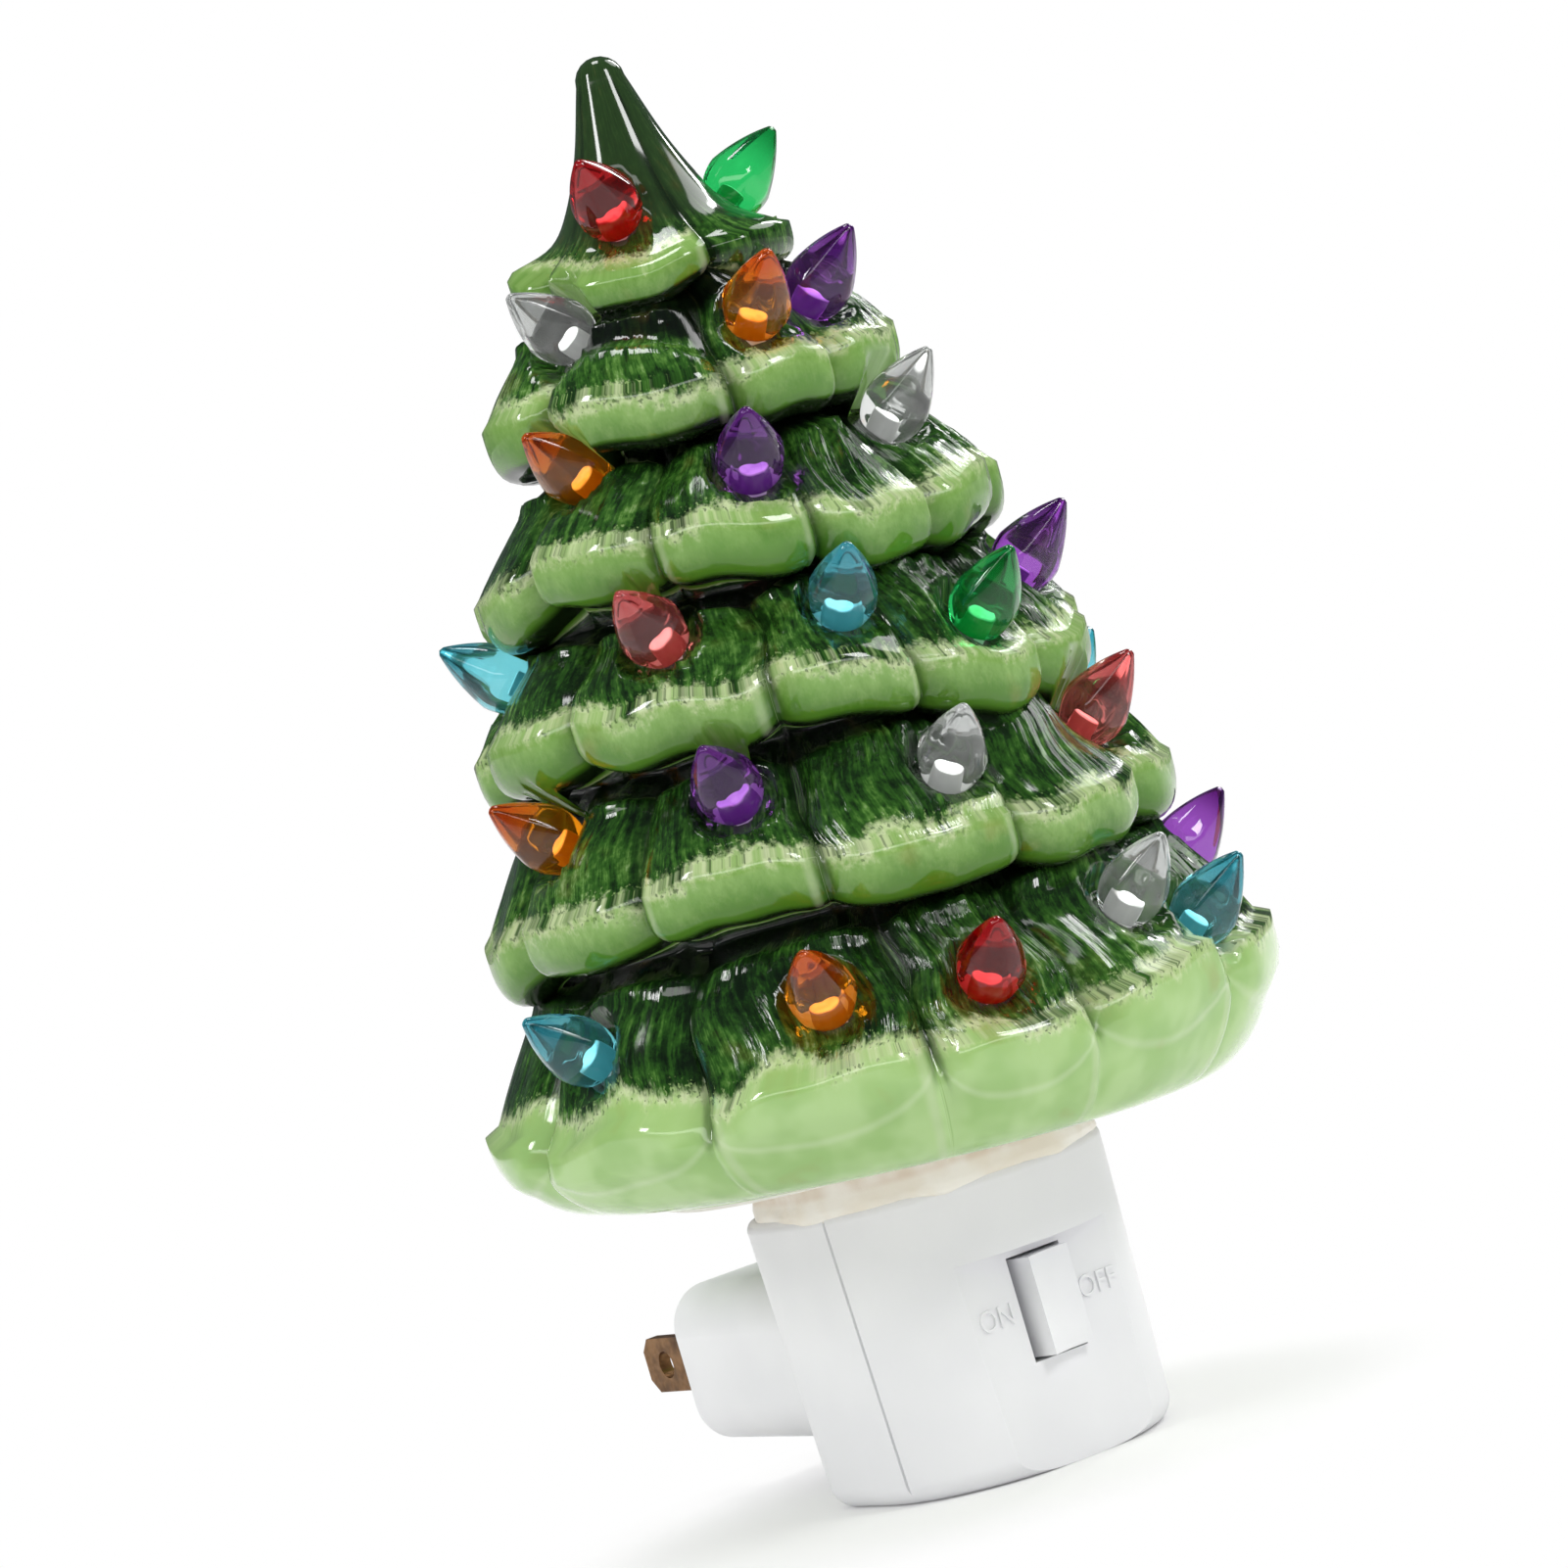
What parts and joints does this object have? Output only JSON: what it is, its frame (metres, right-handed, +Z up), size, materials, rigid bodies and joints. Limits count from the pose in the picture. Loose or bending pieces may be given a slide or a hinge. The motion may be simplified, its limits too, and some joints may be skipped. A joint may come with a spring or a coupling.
{
  "type": "ceramic christmas tree night light",
  "caption": "Glazed ceramic Christmas tree with clear coloured peg bulbs, glued on a white plug-in base with a rocker switch and mains blades.",
  "frame": {"origin": "middle of the plug boss's end face, between the two blades", "axes": "+Y along the blades into the wall, +Z up along the tree, so the switch faces -Y"},
  "size_m": [0.0872, 0.1059, 0.1567],
  "materials": {
    "green_glaze": "thick glossy glaze, dark green with pale green edges",
    "bulb_red": "clear moulded plastic, ruby red",
    "bulb_orange": "clear moulded plastic, amber orange",
    "bulb_purple": "clear moulded plastic, purple",
    "bulb_teal": "clear moulded plastic, teal",
    "bulb_green": "clear moulded plastic, emerald green",
    "bulb_pink": "clear moulded plastic, coral pink",
    "bulb_clear": "clear moulded plastic, colourless",
    "cream_adhesive": "hardened cream adhesive",
    "white_plastic": "satin white moulded plastic",
    "rocker_plastic": "satin white moulded plastic",
    "holder_plastic": "heat-proof white moulding",
    "black_insulator": "black glass bead",
    "blade_brass": "dull brown brass",
    "strip_brass": "plain stamped brass",
    "spring_steel": "bright wire",
    "solder": "dull solder",
    "nickel_cap": "nickel plated",
    "lamp_glass": "thin clear glass",
    "tungsten": "dark wire"
  },
  "bodies": {
    "light": {"adhesive_bead": "cream_adhesive", "blade_left": "blade_brass", "blade_right": "blade_brass", "bulb_tier1_1_red": "bulb_red", "bulb_tier1_2_green": "bulb_green", "bulb_tier1_3_orange": "bulb_orange", "bulb_tier2_1_clear": "bulb_clear", "bulb_tier2_2_orange": "bulb_orange", "bulb_tier2_3_purple": "bulb_purple", "bulb_tier2_4_teal": "bulb_teal", "bulb_tier2_5_red": "bulb_red", "bulb_tier3_1_orange": "bulb_orange", "bulb_tier3_2_purple": "bulb_purple", "bulb_tier3_3_clear": "bulb_clear", "bulb_tier3_4_pink": "bulb_pink", "bulb_tier3_5_green": "bulb_green", "bulb_tier4_1_teal": "bulb_teal", "bulb_tier4_2_pink": "bulb_pink", "bulb_tier4_3_teal": "bulb_teal", "bulb_tier4_4_green": "bulb_green", "bulb_tier4_5_purple": "bulb_purple", "bulb_tier4_6_orange": "bulb_orange", "bulb_tier4_7_clear": "bulb_clear", "bulb_tier5_1_orange": "bulb_orange", "bulb_tier5_2_purple": "bulb_purple", "bulb_tier5_3_clear": "bulb_clear", "bulb_tier5_4_pink": "bulb_pink", "bulb_tier5_5_teal": "bulb_teal", "bulb_tier5_6_green": "bulb_green", "bulb_tier5_7_red": "bulb_red", "bulb_tier6_1_teal": "bulb_teal", "bulb_tier6_2_orange": "bulb_orange", "bulb_tier6_3_red": "bulb_red", "bulb_tier6_4_clear": "bulb_clear", "bulb_tier6_5_teal": "bulb_teal", "bulb_tier6_6_purple": "bulb_purple", "bulb_tier6_7_pink": "bulb_pink", "bulb_tier6_8_orange": "bulb_orange", "centre_contact": "strip_brass", "filament": "tungsten", "front_housing": "white_plastic", "lamp_cap": "nickel_cap", "lamp_glass": "lamp_glass", "lamp_holder": "holder_plastic", "lamp_insulator": "black_insulator", "lamp_stem": "lamp_glass", "lamp_tip": "solder", "live_strip": "strip_brass", "neutral_strip": "strip_brass", "rear_housing": "white_plastic", "socket_shell": "strip_brass", "switch_terminal": "strip_brass", "tree_shell": "green_glaze"},
    "rocker": {"switch_rocker": "rocker_plastic", "switch_plunger": "holder_plastic", "switch_spring": "spring_steel"},
    "contact": {"tilting_contact": "strip_brass"}
  },
  "joints": [
    {"name": "rocker_tilt", "type": "hinge", "parent": "light", "child": "rocker", "pos_m": [0, -0.0574, 0.002], "axis": [0, 0, 1], "range_deg": [-14, 0]},
    {"name": "contact_tilt", "type": "hinge", "parent": "light", "child": "contact", "pos_m": [0, -0.0506, 0.002], "axis": [0, 0, 1], "range_deg": [0, 16]}
  ],
  "couplings": [
    {"joint": "contact_tilt", "follows": "rocker_tilt", "ratio": -1.1429}
  ]
}
